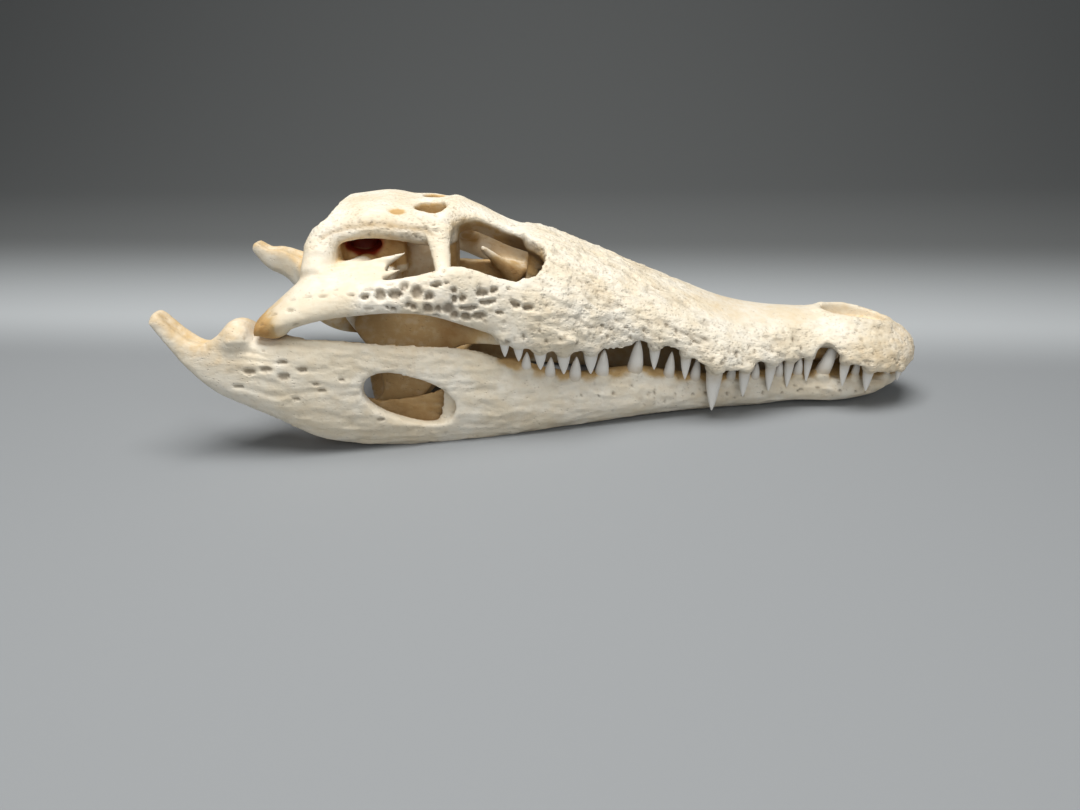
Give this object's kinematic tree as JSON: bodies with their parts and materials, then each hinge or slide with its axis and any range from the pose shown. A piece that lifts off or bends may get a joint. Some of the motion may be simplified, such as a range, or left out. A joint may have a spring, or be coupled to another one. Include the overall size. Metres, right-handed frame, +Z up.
{
  "type": "crocodile skull",
  "caption": "Life-size young Nile crocodile skull, closed on its lower jaw and lying on it, with long toothed snout, open eye sockets and side windows.",
  "frame": {"origin": "on the ground, midway along the length and the width", "axes": "+X forward to the snout tip, +Y to the animal's left, +Z up"},
  "size_m": [0.28, 0.1174, 0.0814],
  "materials": {
    "bone": "dry ivory bone, pitted and ridged, warm tan in the hollows",
    "teeth": "greyish white, satin enamel"
  },
  "bodies": {
    "root": {"upper_jaw": "bone", "cranium": "bone", "lower_jaw_right": "bone", "lower_jaw_left": "bone"}
  },
  "joints": []
}
